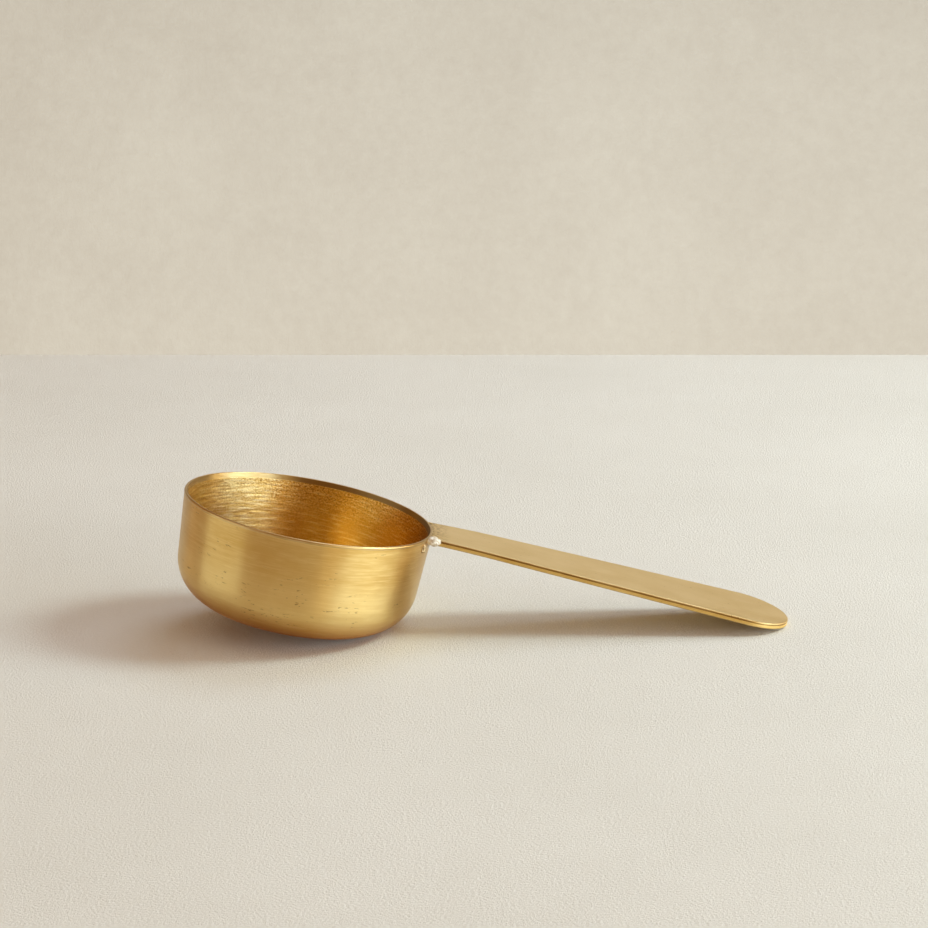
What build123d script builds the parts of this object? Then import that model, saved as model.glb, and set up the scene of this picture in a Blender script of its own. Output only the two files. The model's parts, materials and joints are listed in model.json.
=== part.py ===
from build123d import *
import os
from math import asin, atan, atan2, cos, degrees, hypot, radians, sin, sqrt, tan

# Brass measuring scoop: a thin spun bowl with a flat strip handle soldered to its rim.
# It is modelled as it lies on a table: the bowl leans on the round of its base, and the
# tip of the handle touches the table. +Z is up, +X runs along the handle to its tip, the
# table is z = 0, and the origin is under the middle of the whole scoop. Millimetres.

# ---- driving dimensions ----
# The bowl, measured square to its own base.
RIM_DIAMETER = 50.0
BOWL_HEIGHT = 21.6
WALL_TAPER = 3.73         # degrees that the wall leans outwards
CORNER_RADIUS = 9.0       # outside, between the wall and the flat base
WALL = 0.8
RIM_BEVEL_WIDTH = 0.3     # the bevel inside the rim, across the wall
RIM_BEVEL_DEPTH = 1.0     # and down the wall
RIM_EDGE_BREAK = 0.12     # rounding on the outer edge of the rim

# The handle, a tapered strip that starts almost level with the rim and bends down a little.
HANDLE_LENGTH = 73.7      # along the strip, from the wall to the tip
HANDLE_THICKNESS = 1.2
ROOT_WIDTH = 13.1
END_WIDTH = 20.1          # at the widest place, just before the round end
END_ROUND = 9.0           # length of the round end
SIDE_ANGLE = 2.4          # degrees between the sides and the centre line at the round end
ROOT_DROP = 0.1           # the top face starts this far under the rim
ROOT_PITCH = 1.3          # degrees under the rim plane where the strip leaves the wall
HANDLE_PITCH = 3.7        # degrees under the rim plane after the bend
BEND_RADIUS = 300.0
EDGE_BREAK = 0.2          # rounding along the handle's long edges

# The solder: a fillet under the root, a bead at one corner and a run down the wall.
SEAM_LEG = 1.1
SEAM_SPREAD = 28.0        # degrees of the bowl's wall that the fillet covers
BEAD_LENGTH = 2.9
BEAD_THICKNESS = 1.7
BEAD_REACH = 25.0         # from the bowl's axis, along the handle
BEAD_SIDE = 6.7           # from the centre line
BEAD_DROP = 0.75          # centre of the bead under the rim plane
DRIP_LENGTH = 2.0
DRIP_THICKNESS = 1.3
DRIP_ANGLE = 21.0         # degrees round the bowl from the centre line
DRIP_DROP = 1.75          # centre of the run under the rim plane

WORN_FLAT = 0.05          # rubbed off the bowl's corner and the tip where they stand
OVERRUN = 3.0             # how far a shape runs on past the place where it is cut off

# ---- worked out from them ----
rim_radius = RIM_DIAMETER / 2
foot_radius = rim_radius - BOWL_HEIGHT * tan(radians(WALL_TAPER))
flat_radius = foot_radius - CORNER_RADIUS * tan(radians(90 - WALL_TAPER) / 2)
pitch = radians(HANDLE_PITCH)
root_pitch = radians(ROOT_PITCH)

# The handle's top line, from the root through the bend to the tip, as distances from the
# bowl's axis and heights above its base.
root_reach = rim_radius
root_height = BOWL_HEIGHT - ROOT_DROP
bend_reach = root_reach + BEND_RADIUS * (sin(pitch) - sin(root_pitch))
bend_height = root_height - BEND_RADIUS * (cos(root_pitch) - cos(pitch))
bend_length = BEND_RADIUS * (pitch - root_pitch)
straight_length = HANDLE_LENGTH - bend_length
tip_reach = bend_reach + straight_length * cos(pitch)
tip_height = bend_height - straight_length * sin(pitch)


def inside_tip(depth):
    """The point one edge break in from the tip and this deep under the top face."""
    reach = tip_reach - EDGE_BREAK * cos(pitch) - depth * sin(pitch)
    height = tip_height + EDGE_BREAK * sin(pitch) - depth * cos(pitch)
    return reach, height


# The scoop rests on two roundings, the bowl's corner and the tip's lower edge break, and
# the table is the line under both. That fixes how far the bowl leans.
low_reach, low_height = inside_tip(HANDLE_THICKNESS - EDGE_BREAK)
run = low_reach - flat_radius
fall = CORNER_RADIUS - low_height
lean = asin((CORNER_RADIUS - EDGE_BREAK) / hypot(run, fall)) - atan2(fall, run)

# The bowl's base is lifted until the corner touches the table, less what is worn away, and
# it is moved along until the whole scoop is centred on the origin.
base_lift = CORNER_RADIUS * (1 - cos(lean)) + flat_radius * sin(lean) - WORN_FLAT
back_end = CORNER_RADIUS * (sin(lean) - 1) - flat_radius * cos(lean)
far_reach, far_height = inside_tip(EDGE_BREAK)
front_end = far_reach * cos(lean) + far_height * sin(lean) + EDGE_BREAK
base_shift = -(back_end + front_end) / 2

# ---- planes ----
across = Vector(0, 1, 0)
outward = Vector(cos(lean), 0, -sin(lean))
upward = Vector(sin(lean), 0, cos(lean))
base_centre = Vector(base_shift, 0, base_lift)
bowl_axis = Axis(base_centre, upward)
base_plane = Plane(base_centre, x_dir=outward, z_dir=upward)
middle_plane = Plane(base_centre, x_dir=outward, z_dir=-across)


def in_bowl(reach, side, height):
    """A point given from the bowl's axis, centre line and base."""
    return base_centre + outward * reach + across * side + upward * height


strip_direction = outward * cos(pitch) - upward * sin(pitch)
strip_normal = upward * cos(pitch) + outward * sin(pitch)
tip_plane = Plane(in_bowl(tip_reach, 0, tip_height), x_dir=strip_direction, z_dir=strip_normal)

# ---- the bowl ----
with BuildPart() as bowl:
    with BuildSketch(base_plane):
        Circle(foot_radius)
    extrude(amount=BOWL_HEIGHT, taper=-WALL_TAPER)
    fillet(bowl.faces().sort_by(bowl_axis)[0].edges(), CORNER_RADIUS)
    offset(amount=-WALL, openings=bowl.faces().sort_by(bowl_axis)[-1])
    rim = bowl.faces().sort_by(bowl_axis)[-1]
    inner_edge = rim.edges().sort_by(SortBy.RADIUS)[0]
    chamfer(inner_edge, RIM_BEVEL_WIDTH, RIM_BEVEL_DEPTH, reference=rim)
    outer_edge = bowl.edges().filter_by(GeomType.CIRCLE).sort_by(SortBy.RADIUS)[-1]
    fillet(outer_edge, RIM_EDGE_BREAK)
    split(bisect_by=Plane.XY)
bowl.part.label = "bowl"

# Everything inside the bowl's outer wall, carried on above the rim. It trims what is
# soldered to the wall, so that the pieces meet face to face.
with BuildPart() as wall_cutter:
    with BuildSketch(base_plane):
        Circle(foot_radius)
    extrude(amount=BOWL_HEIGHT + OVERRUN, taper=-WALL_TAPER)

# ---- the handle ----
# The outline is drawn from the tip back to the root. The round end is part of an ellipse
# that starts where it runs the same way as the sides, so that there is no corner.
side_slope = tan(radians(SIDE_ANGLE))
half_end = END_WIDTH / 2
end_angle = degrees(atan(side_slope * END_ROUND / half_end)) + 90
root_corner = (-HANDLE_LENGTH, ROOT_WIDTH / 2)

with BuildPart() as handle:
    with BuildSketch(tip_plane):
        with BuildLine() as half_outline:
            centre = (-END_ROUND, 0)
            end = EllipticalCenterArc(centre, END_ROUND, half_end, arc_size=end_angle)
            side = TangentArc(end @ 1, root_corner, tangent=(-1, -side_slope))
            inner_corner = (-HANDLE_LENGTH - OVERRUN, ROOT_WIDTH / 2)
            Polyline(side @ 1, inner_corner, (inner_corner[0], 0))
            mirror(half_outline.line, Plane.XZ)
        make_face()
    extrude(amount=OVERRUN, both=True)
    with BuildSketch(middle_plane):
        with BuildLine() as side_view:
            inside = (root_reach - OVERRUN * cos(root_pitch), root_height + OVERRUN * sin(root_pitch))
            lead = Line(inside, (root_reach, root_height))
            bend = JernArc(lead @ 1, lead % 1, BEND_RADIUS, -degrees(pitch - root_pitch))
            Line(bend @ 1, bend @ 1 + bend % 1 * (straight_length + OVERRUN))
            offset(side_view.line, HANDLE_THICKNESS, side=Side.RIGHT)
        make_face()
    extrude(amount=END_WIDTH, both=True, mode=Mode.INTERSECT)
    along_edges = handle.edges().filter_by(Axis.Y, reverse=True)
    along_edges = along_edges.filter_by(Axis((0, 0, 0), strip_normal), reverse=True)
    fillet(along_edges, EDGE_BREAK)
    add(wall_cutter.part, mode=Mode.SUBTRACT)
    split(bisect_by=Plane.XY)
handle.part.label = "handle"

# ---- the solder ----
# The fillet under the root is a hollow-faced triangle swept round the wall.
seam_height = root_height - HANDLE_THICKNESS
seam_plane = Plane(middle_plane.location * Rotation(0, -SEAM_SPREAD / 2, 0))
with BuildPart() as solder_seam:
    with BuildSketch(seam_plane):
        with BuildLine():
            wall_reach = rim_radius - (BOWL_HEIGHT - seam_height) * tan(radians(WALL_TAPER))
            foot = (wall_reach - WALL / 2, seam_height - SEAM_LEG)
            top = (wall_reach + SEAM_LEG, seam_height + HANDLE_THICKNESS / 2)
            toe = (wall_reach + SEAM_LEG, seam_height)
            hollow = (wall_reach + SEAM_LEG / 3, seam_height - SEAM_LEG / 3)
            ThreePointArc((wall_reach, seam_height - SEAM_LEG), hollow, toe)
            Polyline(toe, top, (foot[0], top[1]), foot, (wall_reach, foot[1]))
        make_face()
    revolve(axis=bowl_axis, revolution_arc=SEAM_SPREAD)
    add(wall_cutter.part, mode=Mode.SUBTRACT)
    add(handle.part, mode=Mode.SUBTRACT)
solder_seam.part.label = "solder_seam"


def solder_drop(plane, length, thickness, neighbours):
    """A drop with its length along the plane's x-axis, trimmed to fit against its neighbours."""
    with BuildPart() as drop:
        with BuildSketch(plane):
            with BuildLine():
                EllipticalCenterArc((0, 0), length / 2, thickness / 2, arc_size=180)
                Line((-length / 2, 0), (length / 2, 0))
            make_face()
        revolve(axis=Axis(plane.origin, plane.x_dir))
        for neighbour in neighbours:
            add(neighbour, mode=Mode.SUBTRACT)
    return drop


# The bead fills the corner between the wall and the handle's right-hand edge.
bead_centre = in_bowl(BEAD_REACH, -BEAD_SIDE, BOWL_HEIGHT - BEAD_DROP)
solder_bead = solder_drop(
    Plane(bead_centre, x_dir=strip_direction, z_dir=strip_normal),
    BEAD_LENGTH,
    BEAD_THICKNESS,
    [wall_cutter.part, handle.part, solder_seam.part],
)
solder_bead.part.label = "solder_bead"

# The run of solder hangs on the wall beside the bead.
drip_angle = radians(DRIP_ANGLE)
drip_reach = rim_radius - DRIP_DROP * tan(radians(WALL_TAPER))
drip_side = -drip_reach * sin(drip_angle)
drip_centre = in_bowl(drip_reach * cos(drip_angle), drip_side, BOWL_HEIGHT - DRIP_DROP)
solder_drip = solder_drop(
    Plane(drip_centre, x_dir=upward, z_dir=across),
    DRIP_LENGTH,
    DRIP_THICKNESS,
    [wall_cutter.part],
)
solder_drip.part.label = "solder_drip"

# ---- export ----
os.makedirs("parts", exist_ok=True)
export_step(bowl.part, "parts/bowl.step")
export_step(handle.part, "parts/handle.step")
export_step(solder_seam.part, "parts/solder_seam.step")
export_step(solder_bead.part, "parts/solder_bead.step")
export_step(solder_drip.part, "parts/solder_drip.step")
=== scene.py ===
# %% [markdown]
# # A brass measuring scoop
#
# The scoop is a thin brass bowl with a flat strip handle soldered to its rim. It lies on a
# table, leaning on the round of its base and on the tip of its handle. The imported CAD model
# is the frame: the bowl's place, lean and rim come from it, and the other sizes repeat its
# dimensions, in metres. This script gives each piece a mesh that carries the marks of its
# making, and a finish to match.

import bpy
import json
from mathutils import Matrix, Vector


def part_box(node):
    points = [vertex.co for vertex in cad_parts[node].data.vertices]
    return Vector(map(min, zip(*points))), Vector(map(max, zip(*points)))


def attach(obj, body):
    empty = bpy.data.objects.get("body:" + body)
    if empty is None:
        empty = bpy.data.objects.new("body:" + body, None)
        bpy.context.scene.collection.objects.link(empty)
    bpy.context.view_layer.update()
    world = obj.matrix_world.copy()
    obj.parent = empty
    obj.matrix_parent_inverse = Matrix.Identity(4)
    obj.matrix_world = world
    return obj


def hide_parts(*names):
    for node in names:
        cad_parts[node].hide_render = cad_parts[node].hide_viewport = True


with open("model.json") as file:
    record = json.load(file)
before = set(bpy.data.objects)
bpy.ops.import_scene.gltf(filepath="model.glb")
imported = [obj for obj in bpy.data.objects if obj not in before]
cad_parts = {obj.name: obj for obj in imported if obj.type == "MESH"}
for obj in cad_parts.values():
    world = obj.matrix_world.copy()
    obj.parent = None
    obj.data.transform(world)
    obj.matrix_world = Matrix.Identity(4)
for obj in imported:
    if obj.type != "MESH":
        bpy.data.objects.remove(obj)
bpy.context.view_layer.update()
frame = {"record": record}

# %% Tools for the rest of the lesson
import json
import math

import bmesh
import bpy
from mathutils import Vector, noise

MM = 0.001

# %% [markdown]
# ## Where the bowl stands
#
# The bowl leans, so most of its shape is easiest to say from its own base: how far out from
# its axis, how far to the side, and how high above the base. The record's one mount is that
# base. It gives the point in the middle of the underside and the direction that the
# underside faces, and the other two directions follow from them.

# %% The bowl's own directions
base_mount = frame["record"]["mounts"][0]
base_centre = Vector(base_mount["pos_m"])
bowl_up = -Vector(base_mount["axis"]).normalized()
sideways = Vector((0, 1, 0))
bowl_out = sideways.cross(bowl_up)
lean = math.asin(bowl_up.x)


def in_bowl(reach, side, height):
    """A point given from the bowl's axis, its centre line and its base."""
    return base_centre + bowl_out * reach + sideways * side + bowl_up * height


print("the bowl leans", round(math.degrees(lean), 2), "degrees")

# %% Sizes of the bowl
bowl_low, bowl_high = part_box("bowl")
RIM_RADIUS = (bowl_high.y - bowl_low.y) / 2
BOWL_HEIGHT = 21.6 * MM
WALL = 0.8 * MM
WALL_TAPER = math.radians(3.73)
CORNER_RADIUS = 9.0 * MM
BEVEL_WIDTH = 0.3 * MM
BEVEL_DEPTH = 1.0 * MM
RIM_ROUND = 0.28 * MM

rim_centre = in_bowl(0, 0, BOWL_HEIGHT)
foot_radius = RIM_RADIUS - BOWL_HEIGHT * math.tan(WALL_TAPER)
flat_radius = foot_radius - CORNER_RADIUS * math.tan((math.pi / 2 - WALL_TAPER) / 2)
print("rim radius", round(RIM_RADIUS / MM, 2), "mm, flat base radius", round(flat_radius / MM, 2), "mm")

# %% [markdown]
# ## A mesh from rings
#
# Both big pieces are skins made of rings of points. For the bowl a ring runs round the
# axis, and for the handle it runs round the edge. One helper joins each ring to the next
# with four-sided faces and writes a UV map in real metres, with U along the ring and V from
# ring to ring. Brushed metal needs such a map, because its gloss is stretched across
# the brush marks, and the shader has to know which way they run.


# %% Join rings into a skin
def skin(name, rings, maps, close_ends=True):
    """A mesh from equal rings of points. maps holds a (u, v) for each point, one more a ring."""
    count = len(rings[0])
    points = [point for ring in rings for point in ring]
    faces = []
    corners = []
    for row in range(len(rings) - 1):
        for step in range(count):
            after = (step + 1) % count
            near, far = row * count, (row + 1) * count
            faces.append((near + step, near + after, far + after, far + step))
            corners += [maps[row][step], maps[row][step + 1], maps[row + 1][step + 1], maps[row + 1][step]]
    if close_ends:
        for row, order in ((0, -1), (len(rings) - 1, 1)):
            ring = list(range(count))[::order]
            faces.append([row * count + step for step in ring])
            corners += [maps[row][step] for step in ring]
    mesh = bpy.data.meshes.new(name)
    mesh.from_pydata(points, [], faces)
    layer = mesh.uv_layers.new(name="metres")
    layer.data.foreach_set("uv", [value for corner in corners for value in corner])
    mesh.polygons.foreach_set("use_smooth", [True] * len(mesh.polygons))
    mesh.update()
    piece = bpy.data.objects.new(name, mesh)
    bpy.context.scene.collection.objects.link(piece)
    return piece


# %% [markdown]
# ## The bowl's section
#
# The real bowl is spun: a disc of sheet is pressed over a turning form. So its section is
# drawn once and turned. The section starts in the middle of the underside, goes out over
# the flat, round the corner, up the wall, over the rim, down the small bevel and back
# inside to the middle. The points are closer together inside, where the spinning tool left
# fine ridges that need real shape.


# %% Draw the section
def arc(centre_reach, centre_height, radius, start, end, steps):
    """Points on a round stretch of the section, from one angle to the other."""
    points = []
    for step in range(steps + 1):
        angle = start + (end - start) * step / steps
        points.append((centre_reach + radius * math.cos(angle), centre_height + radius * math.sin(angle)))
    return points


def straight(start, end, steps):
    """Points along a straight stretch, without its two ends."""
    points = []
    for step in range(1, steps):
        part = step / steps
        points.append((start[0] + (end[0] - start[0]) * part, start[1] + (end[1] - start[1]) * part))
    return points


CENTRE_HOLE = 0.05 * MM
corner_out = arc(flat_radius, CORNER_RADIUS, CORNER_RADIUS, -math.pi / 2, -WALL_TAPER, 36)
corner_in = arc(flat_radius, CORNER_RADIUS, CORNER_RADIUS - WALL, -WALL_TAPER, -math.pi / 2, 84)
rim_out = arc(
    RIM_RADIUS - RIM_ROUND, BOWL_HEIGHT - RIM_ROUND, RIM_ROUND, -WALL_TAPER, math.pi / 2, 5
)
bevel_top = (RIM_RADIUS - WALL + BEVEL_WIDTH, BOWL_HEIGHT)
bevel_foot = (RIM_RADIUS - WALL - BEVEL_DEPTH * math.tan(WALL_TAPER), BOWL_HEIGHT - BEVEL_DEPTH)

outside = [(CENTRE_HOLE, 0)] + straight((CENTRE_HOLE, 0), corner_out[0], 12) + corner_out
outside += straight(corner_out[-1], rim_out[0], 48)
rim = rim_out + straight(rim_out[-1], bevel_top, 3) + [bevel_top]
bevel = straight(bevel_top, bevel_foot, 10) + [bevel_foot]
inside = straight(bevel_foot, corner_in[0], 96) + corner_in
inside += straight(corner_in[-1], (CENTRE_HOLE, WALL), 40) + [(CENTRE_HOLE, WALL)]
section = outside + rim + bevel + inside
print("the section has", len(section), "points")

# %% [markdown]
# ## Turning the section, with the marks of spinning
#
# Outside, the bowl was brushed smooth. Inside, the tool's ridges run round the wall,
# broken into short strokes, and the wall is a little wavy between them. That can be a bump
# in the finish, but real shape catches the light better at the ridges' edges, so the skin
# itself moves in and out by hundredths of a millimetre.

# %% Turn the bowl
ROUND_STEPS = 320
RIDGE_PITCH = 0.46 * MM
RIDGE_LENGTH = 4.0 * MM
RIDGE_HEIGHT = 0.026 * MM
RIDGE_FADE = 1.2 * MM
WAVE_SIZE = 7.0 * MM
WAVE_HEIGHT = 0.035 * MM
OUTSIDE_WAVES = 0.35
SLANT_SIZE = 12 * MM
SLANT = 0.25 * MM
FINE_SHARE = 0.45
DEEPEST_OPPOSITE = math.radians(-20)


def section_normals(points):
    """The direction square to the section at each of its points, away from the metal."""
    normals = []
    for index in range(len(points)):
        before = points[max(index - 1, 0)]
        after = points[min(index + 1, len(points) - 1)]
        run, rise = after[0] - before[0], after[1] - before[1]
        size = math.hypot(run, rise)
        normals.append((rise / size, -run / size))
    return normals


def section_lengths(points):
    """How far along the section each point is."""
    lengths = [0.0]
    for before, after in zip(points, points[1:]):
        lengths.append(lengths[-1] + math.dist(before, after))
    return lengths


def spun_marks(reach, angle, travel, below_rim):
    """How far the skin stands out of the plain section. below_rim is negative outside the bowl."""
    around = Vector((math.cos(angle), math.sin(angle), 0)) * max(reach, 0)
    wave = noise.noise(around / WAVE_SIZE + Vector((0, 0, travel / WAVE_SIZE))) * WAVE_HEIGHT
    if below_rim < 0:
        return wave * OUTSIDE_WAVES
    slant = noise.noise(around / SLANT_SIZE) * SLANT
    stroke = around / RIDGE_LENGTH + Vector((0, 0, (travel + slant) / RIDGE_PITCH))
    fine = around / (RIDGE_LENGTH * 0.4) + Vector((7, 3, travel / (RIDGE_PITCH * 0.8)))
    deepest = 0.5 - 0.5 * math.cos(angle - DEEPEST_OPPOSITE)
    strength = (0.35 + 0.65 * deepest) * min(1.0, below_rim / RIDGE_FADE)
    return wave + (noise.noise(stroke) + FINE_SHARE * noise.noise(fine)) * RIDGE_HEIGHT * strength


def turn_bowl():
    """The bowl's skin, pressed flat by a hair where it stands on the table."""
    normals = section_normals(section)
    lengths = section_lengths(section)
    first_inside = len(outside) + len(rim) + len(bevel)
    rings = []
    maps = []
    for index, (reach, height) in enumerate(section):
        below_rim = lengths[index] - lengths[first_inside] if index >= first_inside else -1.0
        ring = []
        for step in range(ROUND_STEPS):
            angle = 2 * math.pi * step / ROUND_STEPS
            on_rim = len(outside) <= index < first_inside
            lift = 0.0 if on_rim else spun_marks(reach, angle, lengths[index], below_rim)
            out = reach + normals[index][0] * lift
            level = height + normals[index][1] * lift
            point = in_bowl(out * math.cos(angle), out * math.sin(angle), level)
            point.z = max(point.z, 0.0)
            ring.append(point)
        rings.append(ring)
        around = 2 * math.pi * RIM_RADIUS
        maps.append([(around * step / ROUND_STEPS, lengths[index]) for step in range(ROUND_STEPS + 1)])
    return skin("spun_bowl", rings, maps)


bowl = turn_bowl()
print("the bowl has", len(bowl.data.polygons), "faces")

# %% [markdown]
# ## The handle
#
# The handle is a strip cut from sheet, narrow at the bowl and wide at its blunt round end.
# Its outline could be a curve with a bevel, but the strip also bends a little near the
# bowl, so its faces need rows of points to bend along. Here the outline is drawn flat, as a
# list of rings that step inwards from the edge: the middle of the edge, the rounded corner,
# then wider steps to the centre line. Each point is then laid on the strip's bent line.

# %% Sizes of the handle
HANDLE_LENGTH = 73.7 * MM
THICKNESS = 1.2 * MM
ROOT_WIDTH = 13.1 * MM
END_WIDTH = 20.1 * MM
END_ROUND = 9.0 * MM
SIDE_ANGLE = math.radians(2.4)
ROOT_DROP = 0.1 * MM
ROOT_PITCH = math.radians(1.3)
HANDLE_PITCH = math.radians(3.7)
BEND_RADIUS = 300.0 * MM
EDGE_ROUND = 0.2 * MM
TUCK = 0.5 * MM

bend_length = BEND_RADIUS * (HANDLE_PITCH - ROOT_PITCH)


# %% Follow the bent line
def on_strip(along, side, under):
    """A point on the strip, from the root, from the centre line and under the top face."""
    if along < bend_length:
        pitch = ROOT_PITCH + max(along, 0) / BEND_RADIUS
        reach = RIM_RADIUS + BEND_RADIUS * (math.sin(pitch) - math.sin(ROOT_PITCH))
        height = BOWL_HEIGHT - ROOT_DROP - BEND_RADIUS * (math.cos(ROOT_PITCH) - math.cos(pitch))
        reach += min(along, 0)
    else:
        pitch = HANDLE_PITCH
        rest = along - bend_length
        reach = RIM_RADIUS + BEND_RADIUS * (math.sin(pitch) - math.sin(ROOT_PITCH)) + rest * math.cos(pitch)
        height = BOWL_HEIGHT - ROOT_DROP - BEND_RADIUS * (math.cos(ROOT_PITCH) - math.cos(pitch))
        height -= rest * math.sin(pitch)
    return in_bowl(reach - under * math.sin(pitch), side, height - under * math.cos(pitch))


# %% Draw the outline
def side_curve(steps):
    """Points (along, side) on the left edge, from the round end back to the root."""
    slope = math.tan(SIDE_ANGLE)
    half_end = END_WIDTH / 2
    turn = math.atan(slope * END_ROUND / half_end)
    start = (HANDLE_LENGTH - END_ROUND - END_ROUND * math.sin(turn), half_end * math.cos(turn))
    root = (0.0, ROOT_WIDTH / 2)
    straight_drop = slope * start[0]
    bulge = (start[1] - root[1] - straight_drop) / start[0] ** 2
    points = []
    for step in range(steps + 1):
        back = start[0] * step / steps
        points.append((start[0] - back, start[1] - slope * back - bulge * back**2))
    return points, turn


def outline():
    """The outline as (along, side), from the root's left corner round the end to its right."""
    left, turn = side_curve(70)
    left = left[::-1]
    end = []
    steps = 72
    for step in range(1, steps):
        angle = (math.pi / 2 + turn) * (1 - 2 * step / steps)
        along = HANDLE_LENGTH - END_ROUND + END_ROUND * math.cos(angle)
        end.append((along, END_WIDTH / 2 * math.sin(angle)))
    right = [(along, -side) for along, side in left[::-1]]
    return left + end + right


edge = outline()
print("the outline has", len(edge), "points")


# %% [markdown]
# The root isn't straight: it is filed hollow to fit the bowl's wall. The strip is drawn a
# little way into the wall's thickness, where it can't be seen, and follows the wall's curve.


# %% Build the strip
# The band under the top edge, this high, carries the painted shade line.
TOP_LINE = 0.28 * MM
ROOT_STEPS = 24
DENT_SIZE = 9 * MM
DENT_DEPTH = 0.015 * MM
SAME_POINT = 0.001 * MM


def strip_loop():
    """The strip's closed outline, with the way in from the edge and the centre-line point for each."""
    half = ROOT_WIDTH / 2
    left_root = (math.sqrt(RIM_RADIUS**2 - half**2) - RIM_RADIUS - TUCK, half)
    loop = [left_root] + edge + [(left_root[0], -half)]
    for step in range(1, ROOT_STEPS):
        side = -half + 2 * half * step / ROOT_STEPS
        loop.append((math.sqrt(RIM_RADIUS**2 - side**2) - RIM_RADIUS - TUCK, side))
    inward = []
    for index, (along, side) in enumerate(loop):
        before, after = loop[index - 1], loop[(index + 1) % len(loop)]
        run, rise = after[0] - before[0], after[1] - before[1]
        size = math.hypot(run, rise)
        inward.append((rise / size, -run / size))
    spine = [(min(max(along, 0.5 * MM), HANDLE_LENGTH - END_ROUND), 0.0) for along, side in loop]
    return loop, inward, spine


def strip_layers():
    """(inset, under, part): in from the edge, under the top face, and how far on to the centre line."""
    fill = [1.0, 0.8, 0.6, 0.42, 0.26, 0.13, 0.05]
    turns = [math.pi / 2 * step / 3 for step in range(4)]
    corner = [(EDGE_ROUND * (1 - math.sin(turn)), EDGE_ROUND * (1 - math.cos(turn))) for turn in turns]
    layers = [(EDGE_ROUND, 0.0, part) for part in fill]
    layers += [(inset, under, 0.0) for inset, under in corner]
    first_wall = len(layers) - 1
    heights = [EDGE_ROUND + TOP_LINE, 0.7 * MM, 0.85 * MM]
    layers += [(0.0, under, 0.0) for under in heights]
    layers += [(inset, THICKNESS - under, 0.0) for inset, under in corner[::-1]]
    layers += [(EDGE_ROUND, THICKNESS, part) for part in fill[::-1]]
    return layers, first_wall


def cut_handle():
    """The strip's skin, from the top face's centre line over the edge to the bottom's."""
    loop, inward, spine = strip_loop()
    layers, first_wall = strip_layers()
    rings = []
    maps = []
    for inset, under, part in layers:
        ring = []
        flat = []
        for (along, side), (in_along, in_side), middle in zip(loop, inward, spine):
            along += in_along * inset
            side += in_side * inset
            along += (middle[0] - along) * part
            side += (middle[1] - side) * part
            dent = noise.noise(Vector((along, side, 0)) / DENT_SIZE) * DENT_DEPTH
            point = on_strip(along, side, under + dent)
            point.z = max(point.z, 0.0)
            ring.append(point)
            flat.append((along, side + under))
        rings.append(ring)
        maps.append(flat + flat[:1])
    strip = skin("strip_handle", rings, maps, close_ends=False)
    for index, face in enumerate(strip.data.polygons):
        row = index // len(loop)
        # Row first_wall takes the painted shade line; the three side rows below it take the copy with
        # painted light.
        face.material_index = 1 if row == first_wall else 2 if first_wall < row < first_wall + 4 else 0
    shape = bmesh.new()
    shape.from_mesh(strip.data)
    bmesh.ops.remove_doubles(shape, verts=shape.verts, dist=SAME_POINT)
    shape.to_mesh(strip.data)
    shape.free()
    return strip


handle = cut_handle()
print("the handle has", len(handle.data.polygons), "faces")

# %% [markdown]
# ## The solder
#
# Solder froze in three places: a pale bead in the corner beside the root, a run down the
# wall, and a hollow fillet under the root. The bead and the run start as a ball of points,
# stretched to its length and pushed about by smooth noise, so that each looks like
# something that once flowed. The fillet is a ring of points swept round the wall.

# %% Shape a drop
DROP_FINENESS = 5


def drop(name, centre, directions, half_sizes, lumps, seed):
    """A lumpy drop with its three half sizes along three directions."""
    shape = bmesh.new()
    bmesh.ops.create_icosphere(shape, subdivisions=DROP_FINENESS, radius=1.0)
    for vertex in shape.verts:
        unit = vertex.co.copy()
        swell = 1 + lumps * noise.noise(unit * 1.7 + Vector((seed, 0, 0)))
        swell += lumps * 0.4 * noise.noise(unit * 4.5 + Vector((0, seed, 0)))
        place = centre.copy()
        for direction, half, share in zip(directions, half_sizes, unit):
            place += direction * half * share * swell
        vertex.co = place
    mesh = bpy.data.meshes.new(name)
    shape.to_mesh(mesh)
    shape.free()
    mesh.polygons.foreach_set("use_smooth", [True] * len(mesh.polygons))
    piece = bpy.data.objects.new(name, mesh)
    bpy.context.scene.collection.objects.link(piece)
    return piece


# %% The bead
BEAD_REACH = 25.05 * MM
BEAD_SIDE = -6.75 * MM
BEAD_DROP = 0.48 * MM
BEAD_HALVES = (1.42 * MM, 0.95 * MM, 0.9 * MM)
BEAD_LUMPS = 0.22

bead_centre = in_bowl(BEAD_REACH, BEAD_SIDE, BOWL_HEIGHT - BEAD_DROP)
bead = drop(
    "solder_bead_drop", bead_centre, (bowl_out, sideways, bowl_up), BEAD_HALVES, BEAD_LUMPS, 4.0
)
print("the bead has", len(bead.data.polygons), "faces")

# %% The run down the wall
RUN_ANGLE = math.radians(-21.0)
RUN_DROP = 1.75 * MM
RUN_HALVES = (0.45 * MM, 0.72 * MM, 0.98 * MM)
RUN_LUMPS = 0.42

run_reach = RIM_RADIUS - RUN_DROP * math.tan(WALL_TAPER)
run_out = bowl_out * math.cos(RUN_ANGLE) + sideways * math.sin(RUN_ANGLE)
run_along = sideways * math.cos(RUN_ANGLE) - bowl_out * math.sin(RUN_ANGLE)
run_centre = base_centre + run_out * run_reach + bowl_up * (BOWL_HEIGHT - RUN_DROP)
solder_run = drop(
    "solder_run", run_centre, (run_out, run_along, bowl_up), RUN_HALVES, RUN_LUMPS, 9.0
)
print("the run has", len(solder_run.data.polygons), "faces")

# %% The fillet under the root
FILLET_SPREAD = math.radians(14.3)
FILLET_STEPS = 60
FILLET_LEG = 1.1 * MM
INTO_STRIP = 0.3 * MM
INTO_WALL = 0.4 * MM


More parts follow.
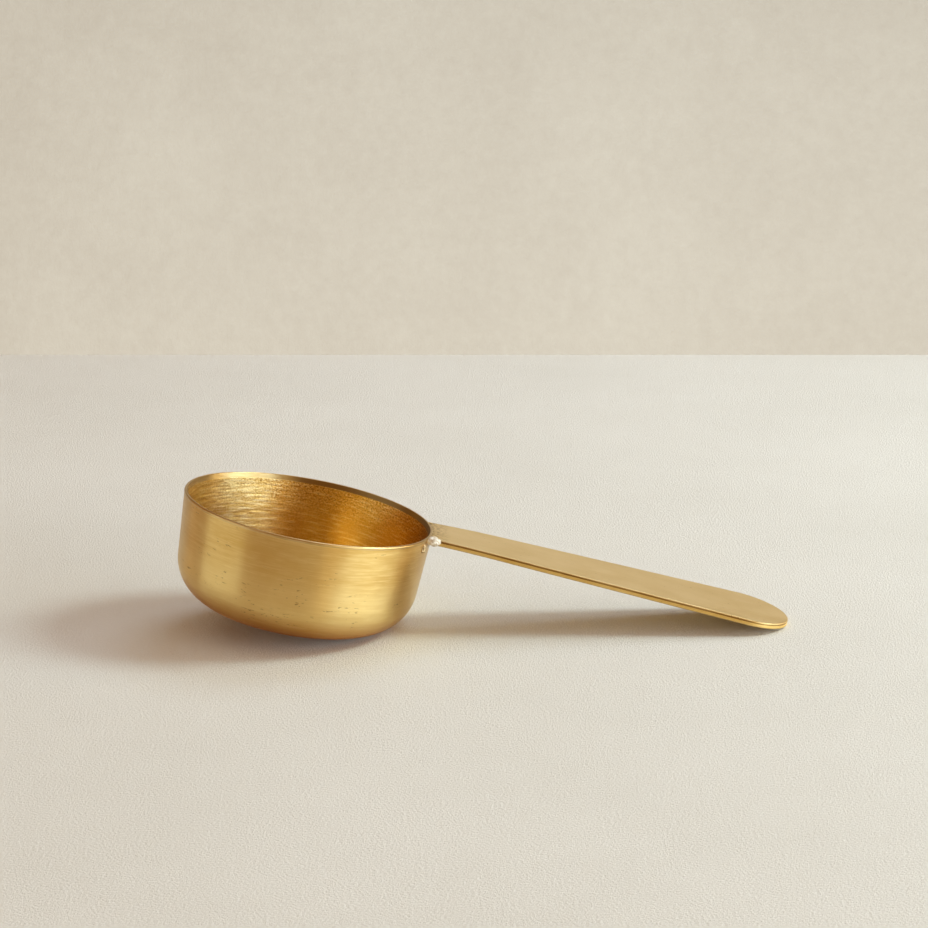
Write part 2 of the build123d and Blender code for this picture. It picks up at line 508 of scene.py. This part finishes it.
def fillet_ring(angle, size):
    """The fillet's hollow face and hidden back, as points at one angle round the bowl."""
    corner_height = BOWL_HEIGHT - ROOT_DROP - THICKNESS
    wall = RIM_RADIUS - (BOWL_HEIGHT - corner_height) * math.tan(WALL_TAPER)
    hollow = []
    for part in range(9):
        turn = math.pi / 2 * part / 8
        down = size * (1 - math.sin(turn))
        hollow.append((wall + size * (1 - math.cos(turn)), corner_height - down))
    hollow.append((wall + size, corner_height + INTO_STRIP))
    hollow.append((wall - INTO_WALL, corner_height + INTO_STRIP))
    hollow.append((wall - INTO_WALL, corner_height - size))
    ring = [in_bowl(reach * math.cos(angle), reach * math.sin(angle), height) for reach, height in hollow]
    return ring, wall


def sweep_fillet():
    """The hollow fillet between the wall and the underside of the strip, uneven along its length."""
    rings = []
    maps = []
    for step in range(FILLET_STEPS + 1):
        angle = -FILLET_SPREAD + 2 * FILLET_SPREAD * step / FILLET_STEPS
        uneven = 1 + 0.25 * noise.noise(Vector((angle * 14, 2, 0)))
        ends = min(1.0, 8 * (1 - abs(angle) / FILLET_SPREAD) + 0.15)
        ring, wall = fillet_ring(angle, FILLET_LEG * uneven * ends)
        rings.append(ring)
        maps.append([(angle * wall, part * 0.2 * MM) for part in range(len(ring) + 1)])
    return skin("solder_fillet", rings, maps)


fillet = sweep_fillet()
print("the fillet has", len(fillet.data.polygons), "faces")

# %% [markdown]
# ## Finishes
#
# Brass here is one metal in several states: brushed round the bowl, brushed along the
# handle, and dull and stained inside, where it was never polished. Each finish is a
# metallic shader. Its colour varies slowly with tarnish, its roughness varies with the
# brushing, and fine streaks bump the surface. The streaks come from noise that is
# stretched along the UV map's U direction, because that is the way the brush went.
#
# Some tints stay in one place on the metal: darker low on the bowl, inside on the handle's
# side and on the bevel, and paler in a band where the bowl's wall turns under. The darker
# ones are partly tarnish and partly painted shade, and the paler band is partly wear and
# partly painted sheen, so they are stronger than tarnish and wear alone would be. The
# handle's brown line under its top edge is painted shade, and its brighter side is painted light.


# %% Helpers for node work
def new_finish(name):
    """A material with a shader and the UV map in metres. Returns (material, nodes, links, shader)."""
    finish = bpy.data.materials.new(name)
    finish.use_nodes = True
    nodes, links = finish.node_tree.nodes, finish.node_tree.links
    shader = nodes["Principled BSDF"]
    return finish, nodes, links, shader


def stretched(nodes, links, source, stretch):
    """The place on the surface, scaled by three factors, ready for a noise node."""
    mapping = nodes.new("ShaderNodeMapping")
    mapping.inputs["Scale"].default_value = stretch
    links.new(source, mapping.inputs["Vector"])
    return mapping.outputs["Vector"]


def noise_of(nodes, links, vector, scale, detail, rough):
    """A noise pattern's grey value."""
    pattern = nodes.new("ShaderNodeTexNoise")
    pattern.inputs["Scale"].default_value = scale
    pattern.inputs["Detail"].default_value = detail
    pattern.inputs["Roughness"].default_value = rough
    links.new(vector, pattern.inputs["Vector"])
    return pattern.outputs["Fac"]


def marks(nodes, links, place, along, across, detail, rough):
    """Noise with so many marks in a metre along the piece and so many across it."""
    return noise_of(nodes, links, stretched(nodes, links, place, (along, across, 1)), 1.0, detail, rough)


def remap(nodes, links, value, low, high, to_low, to_high):
    """A value stretched from one range to another, and kept inside it."""
    node = nodes.new("ShaderNodeMapRange")
    node.inputs["From Min"].default_value = low
    node.inputs["From Max"].default_value = high
    node.inputs["To Min"].default_value = to_low
    node.inputs["To Max"].default_value = to_high
    links.new(value, node.inputs["Value"])
    return node.outputs["Result"]


def combine(nodes, links, kind, first, second):
    """Two values put together: ADD, MULTIPLY, MAXIMUM and so on. second may be a number."""
    node = nodes.new("ShaderNodeMath")
    node.operation = kind
    links.new(first, node.inputs[0])
    if isinstance(second, (int, float)):
        node.inputs[1].default_value = second
    else:
        links.new(second, node.inputs[1])
    return node.outputs["Value"]


def tint(nodes, links, amount, from_colour, to_colour):
    """A colour between two others, by an amount from 0 to 1. Either may be a socket."""
    node = nodes.new("ShaderNodeMix")
    node.data_type = "RGBA"
    links.new(amount, node.inputs["Factor"])
    for socket, colour in ((node.inputs["A"], from_colour), (node.inputs["B"], to_colour)):
        if isinstance(colour, tuple):
            socket.default_value = (*colour, 1.0)
        else:
            links.new(colour, socket)
    return node.outputs["Result"]


def raised(nodes, links, height, distance, strength):
    """A bump from a height."""
    node = nodes.new("ShaderNodeBump")
    node.inputs["Distance"].default_value = distance
    node.inputs["Strength"].default_value = strength
    links.new(height, node.inputs["Height"])
    return node.outputs["Normal"]


# %% Colours of the metals
# Each metal has its plain colour, a deeper one for tarnish and a paler one for bright marks.
BRASS = (0.745, 0.505, 0.178)
BRASS_DEEP = (0.64, 0.385, 0.10)
BRASS_PALE = (0.87, 0.66, 0.28)
# The darker colour low on the bowl: partly tarnish, partly painted shade.
BRASS_LOW_TARNISH_AND_SHADE = (0.46, 0.17, 0.025)
BRASS_STAIN = (0.24, 0.12, 0.035)
# The darker bevel colour: partly stain, partly painted shade.
BEVEL_STAIN_AND_SHADE = (0.28, 0.20, 0.085)
RIM_BRASS = (0.66, 0.46, 0.20)
RIM_DEEP = (0.55, 0.36, 0.13)
INSIDE_BRASS = (0.84, 0.62, 0.235)
INSIDE_DEEP = (0.62, 0.38, 0.10)
INSIDE_PALE = (0.96, 0.82, 0.44)
# Amber for the inside on the handle's side: partly stain, partly painted shade.
INSIDE_AMBER_STAIN_AND_SHADE = (0.63, 0.355, 0.045)
HANDLE_BRASS = (0.66, 0.47, 0.21)
HANDLE_DEEP = (0.61, 0.42, 0.17)
HANDLE_PALE = (0.71, 0.53, 0.27)
# The handle's side: a brighter copy of the handle brass, painted light.
SIDE_LIT_BRASS = (0.86, 0.61, 0.21)
SIDE_LIT_DEEP = (0.76, 0.50, 0.14)
# The brown line under the handle's top edge: painted shade.
LINE_SHADE_BROWN = (0.40, 0.24, 0.07)
LINE_SHADE_DEEP = (0.28, 0.14, 0.035)
SOLDER_PALE, SOLDER_DULL = (0.86, 0.80, 0.67), (0.58, 0.47, 0.31)
RUN_PALE, RUN_DULL = (0.74, 0.58, 0.33), (0.26, 0.15, 0.05)


# %% What the brushed finishes share
def brushed_metal(nodes, links, shader, stretch):
    """Full metal whose gloss is stretched across the brush marks, which run along U."""
    shader.inputs["Metallic"].default_value = 1.0
    shader.inputs["Anisotropic"].default_value = stretch
    shader.inputs["Anisotropic Rotation"].default_value = 0.25
    tangent = nodes.new("ShaderNodeTangent")
    tangent.direction_type = "UV_MAP"
    links.new(tangent.outputs["Tangent"], shader.inputs["Tangent"])


def split_place(nodes, links, place):
    """The two parts of a place on the UV map: U round or along the piece, and V across it."""
    node = nodes.new("ShaderNodeSeparateXYZ")
    links.new(place, node.inputs["Vector"])
    return node.outputs["X"], node.outputs["Y"]


def brush_streaks(nodes, links, place, fine, broad):
    """Fine brush marks over broader ones. Each is (along, across), in marks to the metre."""
    thin = marks(nodes, links, place, *fine, 2.0, 0.6)
    wide = marks(nodes, links, place, *broad, 2.0, 0.5)
    return combine(nodes, links, "ADD", combine(nodes, links, "MULTIPLY", thin, 0.6),
                   combine(nodes, links, "MULTIPLY", wide, 0.4))


def between(nodes, links, value, low, high, fade):
    """1 between low and high, and 0 outside them, with soft sides."""
    rise = remap(nodes, links, value, low - fade, low, 0.0, 1.0)
    fall = remap(nodes, links, value, high, high + fade, 1.0, 0.0)
    return combine(nodes, links, "MULTIPLY", rise, fall)


# %% [markdown]
# ### The outside of the bowl
#
# The bowl is brushed round, as if it turned, so its streaks run round it. A paler band where
# the wall turns under is partly wear and partly painted sheen. The lowest part is darker,
# partly tarnish and partly painted shade, and small pits lie at the front. The pits could be
# cut into the mesh, but they are finer than its faces, so they are dark spots with a bump.

# %% Brushed round the bowl
around_bowl = 2 * math.pi * RIM_RADIUS


def brushed_bowl():
    """Satin brass on the outside of the bowl: streaks that run round it, and a patch of pits."""
    finish, nodes, links, shader = new_finish("brass_brushed_round")
    place = nodes.new("ShaderNodeUVMap").outputs["UV"]
    along, up = split_place(nodes, links, place)
    streaks = brush_streaks(nodes, links, place, (240, 3600), (90, 1300))
    cloud = marks(nodes, links, place, 130, 150, 3.0, 0.55)
    colour = tint(nodes, links, remap(nodes, links, cloud, 0.35, 0.65, 0.0, 0.7), BRASS, BRASS_DEEP)
    colour = tint(nodes, links, remap(nodes, links, streaks, 0.50, 0.64, 0.0, 0.40), colour, BRASS_PALE)
    colour = tint(nodes, links, remap(nodes, links, streaks, 0.50, 0.36, 0.0, 0.45), colour, BRASS_DEEP)
    # A paler band where the wall turns under: partly wear, partly painted sheen.
    rubbed_and_painted_sheen = between(nodes, links, up, 26 * MM, 31 * MM, 4 * MM)
    colour = tint(nodes, links, combine(nodes, links, "MULTIPLY", rubbed_and_painted_sheen, 0.5), colour, BRASS_PALE)
    # Darker towards the bottom of the bowl: partly tarnish, partly painted shade.
    colour = tint(nodes, links, remap(nodes, links, up, 19 * MM, 26 * MM, 1.0, 0.0), colour, BRASS_LOW_TARNISH_AND_SHADE)
    pits = marks(nodes, links, place, 620, 2100, 2.0, 0.6)
    grouped = marks(nodes, links, place, 150, 260, 1.0, 0.5)
    front = between(nodes, links, along, around_bowl * 0.66, around_bowl * 0.79, around_bowl * 0.08)
    low_wall = between(nodes, links, up, 26 * MM, 33 * MM, 5 * MM)
    patch = combine(nodes, links, "MULTIPLY", front, low_wall)
    spread = combine(nodes, links, "ADD", grouped, combine(nodes, links, "MULTIPLY", patch, 0.12))
    pit = combine(nodes, links, "MULTIPLY", remap(nodes, links, pits, 0.615, 0.67, 0.0, 1.0),
                  remap(nodes, links, spread, 0.60, 0.67, 0.0, 1.0))
    colour = tint(nodes, links, combine(nodes, links, "MULTIPLY", pit, 0.6), colour, BRASS_STAIN)
    links.new(colour, shader.inputs["Base Color"])
    links.new(remap(nodes, links, streaks, 0.35, 0.65, 0.34, 0.42), shader.inputs["Roughness"])
    brushed_metal(nodes, links, shader, 0.9)
    deep = combine(nodes, links, "SUBTRACT", streaks, pit)
    links.new(raised(nodes, links, deep, 0.03 * MM, 0.6), shader.inputs["Normal"])
    return finish


# %% [markdown]
# ### The inside of the bowl
#
# The inside has the spinning tool's strokes and was never brushed. Grains of stain gather
# under the rim and on the handle's side. The big ridges are already in the mesh, so the
# finish only adds the fine ones. Tints that depend on the side of the bowl fade the same
# way in both directions, or a hard line would show where the UV map begins and ends.

# %% Nearer the handle
def near_handle(nodes, links, along, near, far, most, least):
    """most on the handle's side of the bowl and least opposite, fading alike both ways round."""
    one_way = remap(nodes, links, along, around_bowl * near, around_bowl * far, most, least)
    other_way = remap(nodes, links, along, around_bowl * (1 - far), around_bowl * (1 - near), least, most)
    return combine(nodes, links, "MAXIMUM", one_way, other_way)


# %% Spun and stained, inside the bowl
inside_starts = section_lengths(section)[len(outside) + len(rim) + len(bevel)]


def spun_inside():
    """Brass that was never polished: short strokes of the tool, and stains in grains and clouds."""
    finish, nodes, links, shader = new_finish("brass_spun_inside")
    place = nodes.new("ShaderNodeUVMap").outputs["UV"]
    along, down = split_place(nodes, links, place)
    strokes = marks(nodes, links, place, 230, 1900, 3.0, 0.6)
    grains = marks(nodes, links, place, 2300, 2900, 2.0, 0.6)
    cloud = marks(nodes, links, place, 120, 190, 3.0, 0.55)
    below = remap(nodes, links, down, inside_starts, inside_starts + 7 * MM, 1.0, 0.25)
    aside = near_handle(nodes, links, along, 0.28, 0.46, 1.0, 0.3)
    grainy = combine(nodes, links, "MULTIPLY", below, aside)
    colour = tint(nodes, links, remap(nodes, links, cloud, 0.35, 0.65, 0.0, 1.0), INSIDE_BRASS, INSIDE_DEEP)
    # Darker amber inside on the handle's side: partly stain, partly painted shade.
    amber_side_stain_and_shade = near_handle(nodes, links, along, 0.22, 0.34, 0.8, 0.0)
    colour = tint(nodes, links, amber_side_stain_and_shade, colour, INSIDE_AMBER_STAIN_AND_SHADE)
    colour = tint(nodes, links, remap(nodes, links, strokes, 0.50, 0.68, 0.0, 0.6), colour, INSIDE_PALE)
    colour = tint(nodes, links, remap(nodes, links, strokes, 0.48, 0.34, 0.0, 0.6), colour, INSIDE_DEEP)
    bright = combine(nodes, links, "MULTIPLY", remap(nodes, links, grains, 0.52, 0.66, 0.0, 0.8), grainy)
    dark = combine(nodes, links, "MULTIPLY", remap(nodes, links, grains, 0.48, 0.34, 0.0, 0.8), grainy)
    colour = tint(nodes, links, bright, colour, INSIDE_PALE)
    colour = tint(nodes, links, dark, colour, BRASS_STAIN)
    links.new(colour, shader.inputs["Base Color"])
    links.new(remap(nodes, links, grains, 0.35, 0.65, 0.30, 0.40), shader.inputs["Roughness"])
    brushed_metal(nodes, links, shader, 0.7)
    height = combine(nodes, links, "ADD", combine(nodes, links, "MULTIPLY", strokes, 0.6),
                     combine(nodes, links, "MULTIPLY", grains, grainy))
    links.new(raised(nodes, links, height, 0.06 * MM, 0.8), shader.inputs["Normal"])
    return finish


# %% [markdown]
# ### The rim
#
# The rim is plainer than the rest, and its top edge is bright. The little bevel inside it
# is darker all round, most of all near the handle: partly stain and partly painted shade.

# %% The rim, rubbed smooth
bevel_starts = section_lengths(section)[len(outside) + len(rim) - 1]


def rubbed_rim():
    """The rim's edge and bevel, plainer than the rest because hands rub it."""
    finish, nodes, links, shader = new_finish("brass_rubbed_rim")
    place = nodes.new("ShaderNodeUVMap").outputs["UV"]
    along, down = split_place(nodes, links, place)
    worn = marks(nodes, links, place, 200, 1800, 3.0, 0.6)
    colour = tint(nodes, links, remap(nodes, links, worn, 0.40, 0.62, 0.0, 1.0), RIM_BRASS, RIM_DEEP)
    # The bevel is darkened all round, most near the handle: partly stain, partly painted shade.
    on_bevel = remap(nodes, links, down, bevel_starts, bevel_starts + 0.15 * MM, 0.0, 1.0)
    handle_side = near_handle(nodes, links, along, 0.10, 0.33, 0.9, 0.72)
    bevel_stain_and_shade_mask = combine(nodes, links, "MULTIPLY", on_bevel, handle_side)
    links.new(tint(nodes, links, bevel_stain_and_shade_mask, colour, BEVEL_STAIN_AND_SHADE), shader.inputs["Base Color"])
    links.new(remap(nodes, links, worn, 0.35, 0.65, 0.30, 0.40), shader.inputs["Roughness"])
    brushed_metal(nodes, links, shader, 0.7)
    links.new(raised(nodes, links, worn, 0.03 * MM, 0.6), shader.inputs["Normal"])
    return finish


# %% [markdown]
# ### The handle
#
# The strip was brushed along its length. One finish with three sets of colours makes its
# top, a brown line of painted shade under its top edge, and a brighter copy with painted
# light for the sheared side below it, so the marks run on from one to the next. Heat and
# flux stained the root.

# %% Brushed along the handle
def brushed_handle(name, brass, deep, pale):
    """Satin brass brushed along the strip, with heat colour and flux stains near the root."""
    finish, nodes, links, shader = new_finish(name)
    place = nodes.new("ShaderNodeUVMap").outputs["UV"]
    along = split_place(nodes, links, place)[0]
    streaks = brush_streaks(nodes, links, place, (160, 3800), (40, 900))
    cloud = marks(nodes, links, place, 90, 140, 3.0, 0.55)
    colour = tint(nodes, links, remap(nodes, links, cloud, 0.35, 0.65, 0.0, 1.0), brass, deep)
    colour = tint(nodes, links, remap(nodes, links, streaks, 0.50, 0.66, 0.0, 0.5), colour, pale)
    near_root = remap(nodes, links, along, 0.3 * MM, 3.6 * MM, 1.0, 0.0)
    spots = marks(nodes, links, place, 1300, 1300, 3.0, 0.6)
    flux = combine(nodes, links, "MULTIPLY", near_root, remap(nodes, links, spots, 0.45, 0.60, 0.0, 0.8))
    colour = tint(nodes, links, flux, colour, BRASS_STAIN)
    specks = marks(nodes, links, place, 1100, 2200, 1.0, 0.5)
    colour = tint(nodes, links, remap(nodes, links, specks, 0.735, 0.77, 0.0, 0.6), colour, BRASS_STAIN)
    links.new(colour, shader.inputs["Base Color"])
    links.new(remap(nodes, links, streaks, 0.35, 0.65, 0.38, 0.46), shader.inputs["Roughness"])
    brushed_metal(nodes, links, shader, 0.75)
    links.new(raised(nodes, links, streaks, 0.02 * MM, 0.5), shader.inputs["Normal"])
    return finish


# %% [markdown]
# ### The solder
#
# The bead is pale and rather matt, and the run is a browner alloy. Both are smooth lumps
# with a thin crust, so noise on the object's own coordinates is enough.

# %% Frozen solder
def frozen_solder(name, pale, dull, metal):
    """Smooth solder with duller skin in places."""
    finish, nodes, links, shader = new_finish(name)
    place = nodes.new("ShaderNodeTexCoord").outputs["Object"]
    crust = noise_of(nodes, links, place, 1400.0, 3.0, 0.6)
    links.new(tint(nodes, links, remap(nodes, links, crust, 0.4, 0.7, 0.0, 1.0), pale, dull),
              shader.inputs["Base Color"])
    links.new(remap(nodes, links, crust, 0.3, 0.7, 0.35, 0.6), shader.inputs["Roughness"])
    shader.inputs["Metallic"].default_value = metal
    links.new(raised(nodes, links, crust, 0.06 * MM, 0.6), shader.inputs["Normal"])
    return finish


# %% Put the finishes on
outside_finish, rim_finish, inside_finish = brushed_bowl(), rubbed_rim(), spun_inside()
for finish in (outside_finish, rim_finish, inside_finish):
    bowl.data.materials.append(finish)
outside_faces = (len(outside) - 1) * ROUND_STEPS
rim_faces = (len(rim) + len(bevel)) * ROUND_STEPS
for index, face in enumerate(bowl.data.polygons):
    face.material_index = 0 if index < outside_faces else 1 if index < outside_faces + rim_faces else 2
# The two small faces that close the middle come last, the outer one first.
bowl.data.polygons[-2].material_index = 0

handle.data.materials.append(
    brushed_handle("brass_brushed_along", HANDLE_BRASS, HANDLE_DEEP, HANDLE_PALE)
)
# The line under the top edge: painted shade.
handle.data.materials.append(brushed_handle("brass_painted_shade_line", LINE_SHADE_BROWN, LINE_SHADE_DEEP, HANDLE_DEEP))
# The side faces: a brighter copy of the handle brass, painted light.
handle.data.materials.append(brushed_handle("brass_side_painted_light", SIDE_LIT_BRASS, SIDE_LIT_DEEP, BRASS_PALE))
bead_finish = frozen_solder("solder_pale", SOLDER_PALE, SOLDER_DULL, 0.3)
run_finish = frozen_solder("solder_brassy", RUN_PALE, RUN_DULL, 0.8)
bead.data.materials.append(bead_finish)
solder_run.data.materials.append(run_finish)
fillet.data.materials.append(bead_finish)
print("finishes:", [finish.name for finish in bpy.data.materials])

# %% [markdown]
# ## Joining the pieces to the frame
#
# Every piece rides on the model's one body and stands for the CAD solid it was made over,
# which is then hidden.

# %% Ride on the body
for piece, node, slot in (
    (bowl, "bowl", "brass_bowl"),
    (handle, "handle", "brass_handle"),
    (bead, "solder_bead", "solder"),
    (solder_run, "solder_drip", "solder"),
    (fillet, "solder_seam", "solder"),
):
    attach(piece, "root")
    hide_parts(node)

# %% [markdown]
# ## The table and the wall
#
# The scoop lies on a pale table. The wall stands well behind the table, so that the camera
# can go right round the scoop.

# %% Table and wall
LOOK_RIGHT = math.radians(1.44)
TABLE_BACK = 0.287
WALL_AWAY = 1.25
across = Vector((math.cos(LOOK_RIGHT), -math.sin(LOOK_RIGHT), 0))
away = Vector((math.sin(LOOK_RIGHT), math.cos(LOOK_RIGHT), 0))
upright = Vector((0, 0, 1))


def plain_sheet(name, corner, one_side, other_side):
    """One large flat face, from a corner and two sides."""
    mesh = bpy.data.meshes.new(name)
    corners = [corner, corner + one_side, corner + one_side + other_side, corner + other_side]
    mesh.from_pydata(corners, [], [(0, 1, 2, 3)])
    sheet = bpy.data.objects.new(name, mesh)
    bpy.context.scene.collection.objects.link(sheet)
    return sheet


def plaster(name, colour, darker, grain, depth):
    """Matt pale plaster with slow clouds and fine grain."""
    finish, nodes, links, shader = new_finish(name)
    place = nodes.new("ShaderNodeTexCoord").outputs["Object"]
    cloud = noise_of(nodes, links, place, 11.0, 4.0, 0.6)
    fine = noise_of(nodes, links, place, grain, 4.0, 0.7)
    shade = combine(nodes, links, "ADD", remap(nodes, links, cloud, 0.3, 0.7, 0.0, 0.5),
                    remap(nodes, links, fine, 0.3, 0.7, 0.0, 0.5))
    links.new(tint(nodes, links, shade, colour, darker), shader.inputs["Base Color"])
    shader.inputs["Roughness"].default_value = 0.9
    shader.inputs["Specular IOR Level"].default_value = 0.1
    links.new(raised(nodes, links, fine, depth, 0.8), shader.inputs["Normal"])
    return finish


TABLE_PALE, TABLE_SHADE = (0.88, 0.87, 0.79), (0.78, 0.765, 0.68)
WALL_PALE, WALL_SHADE = (0.61, 0.64, 0.59), (0.54, 0.555, 0.505)

table = plain_sheet("table", away * TABLE_BACK - across * 3, across * 6, away * -3.3)
table.data.materials.append(plaster("table_plaster", TABLE_PALE, TABLE_SHADE, 1900.0, 0.35 * MM))
wall = plain_sheet("wall", away * WALL_AWAY - across * 1.5 - upright * 0.8, across * 3, upright * 1.7)
wall.data.materials.append(plaster("wall_plaster", WALL_PALE, WALL_SHADE, 120.0, 0.8 * MM))
print("table back edge at", TABLE_BACK, "m, wall at", WALL_AWAY, "m")

# %% [markdown]
# ## Light
#
# Brushed metal shows its lamps as soft bands, so the light is what gives brass its look.
# Each soft lamp here has one job, at its own place round the scoop, and the powers and
# colours were balanced lamp by lamp. The wide low window makes the long bright band on the
# bowl, and the small high one throws the shadow to the left. The reflectors make the band
# on the left, the ceiling lamps fill the rest, and one more lights the wall, which the top
# of the handle reflects. A warm glow all round gives the shadows their brown.


# %% Soft lights
def softbox(name, azimuth, elevation, distance, width, height, power, colour):
    """A soft lamp that faces the scoop. Azimuth 0 is the camera's side and grows to the right."""
    lamp = bpy.data.lights.new(name, "AREA")
    lamp.shape = "RECTANGLE"
    lamp.size = width
    lamp.size_y = height
    lamp.energy = power
    lamp.color = colour
    side, lift = math.radians(azimuth), math.radians(elevation)
    level = math.cos(lift)
    outward = Vector((math.sin(side) * level, -math.cos(side) * level, math.sin(lift)))
    holder = bpy.data.objects.new(name, lamp)
    holder.location = outward * distance
    holder.rotation_euler = (-outward).to_track_quat("-Z", "Y").to_euler()
    holder.visible_camera = False
    bpy.context.scene.collection.objects.link(holder)
    return holder


# %% Lamps round the scoop
LAMP_DISTANCE = 1.0
WINDOW_BLUE = (0.72, 0.86, 1.0)
SKY_BLUE = (0.60, 0.78, 1.0)
DAYLIGHT = (0.78, 0.95, 1.0)
WALL_WHITE = (1.0, 0.98, 0.95)
WARM = (1.0, 0.85, 0.52)

for name, azimuth, elevation, width, height, power, colour in (
    ("low_window", 67, 10, 1.1, 0.34, 9.0, WINDOW_BLUE),
    ("high_window", 92, 43, 0.30, 0.28, 5.2, DAYLIGHT),
    ("window_edge", 106, 10, 0.24, 0.34, 1.2, WARM),
    ("left_reflector", -75, 10, 0.8, 0.34, 1.45, DAYLIGHT),
    ("left_rear_reflector", -120, 10, 0.26, 0.34, 0.1, WARM),
    ("front_glow", 28, 10, 0.26, 0.34, 0.6, WARM),
    ("rear_ceiling", 150, 55, 0.5, 0.4, 2.4, SKY_BLUE),
    ("left_ceiling", -75, 55, 0.8, 0.4, 0.5, DAYLIGHT),
    ("ceiling", 0, 89, 1.0, 1.0, 1.0, SKY_BLUE),
):
    softbox(name, azimuth, elevation, LAMP_DISTANCE, width, height, power, colour)

# %% The wall's lamp and the glow of the room
ROOM_GLOW = (1.0, 0.46, 0.10)
ROOM_GLOW_STRENGTH = 0.33

wall_lamp = softbox("wall_lamp", 0, 0, LAMP_DISTANCE, 1.6, 0.3, 6.4, WALL_WHITE)
wall_lamp.location = away * 0.55 - upright * 0.45
wall_lamp.rotation_euler = (away * 0.7 + upright * 0.35).to_track_quat("-Z", "Y").to_euler()

world = bpy.data.worlds.new("room")
bpy.context.scene.world = world
world.use_nodes = True
glow = world.node_tree.nodes["Background"]
glow.inputs["Color"].default_value = (*ROOM_GLOW, 1.0)
glow.inputs["Strength"].default_value = ROOM_GLOW_STRENGTH
print("lights:", [lamp.name for lamp in bpy.data.lights])

# %% [markdown]
# ## Camera
#
# A long lens, a little above the scoop, looks slightly down and a hair to the right. A long
# lens keeps the near and far sides of the rim almost the same size.

# %% Camera
CAMERA_FROM_RIM = Vector((18.1, -501.2, 126.9)) * MM
LOOK_DOWN = math.radians(13.25)
SENSOR_WIDTH = 36
LENS = 100.862069

camera = bpy.data.objects.new("camera", bpy.data.cameras.new("camera"))
camera.data.lens = LENS
camera.data.sensor_width = SENSOR_WIDTH
camera.data.clip_start = 0.01
camera.location = rim_centre + CAMERA_FROM_RIM
looking = Vector(
    (
        math.sin(LOOK_RIGHT) * math.cos(LOOK_DOWN),
        math.cos(LOOK_RIGHT) * math.cos(LOOK_DOWN),
        -math.sin(LOOK_DOWN),
    )
)
camera.rotation_euler = looking.to_track_quat("-Z", "Y").to_euler()
bpy.context.scene.collection.objects.link(camera)
bpy.context.scene.camera = camera
bpy.context.scene.view_settings.view_transform = "Standard"
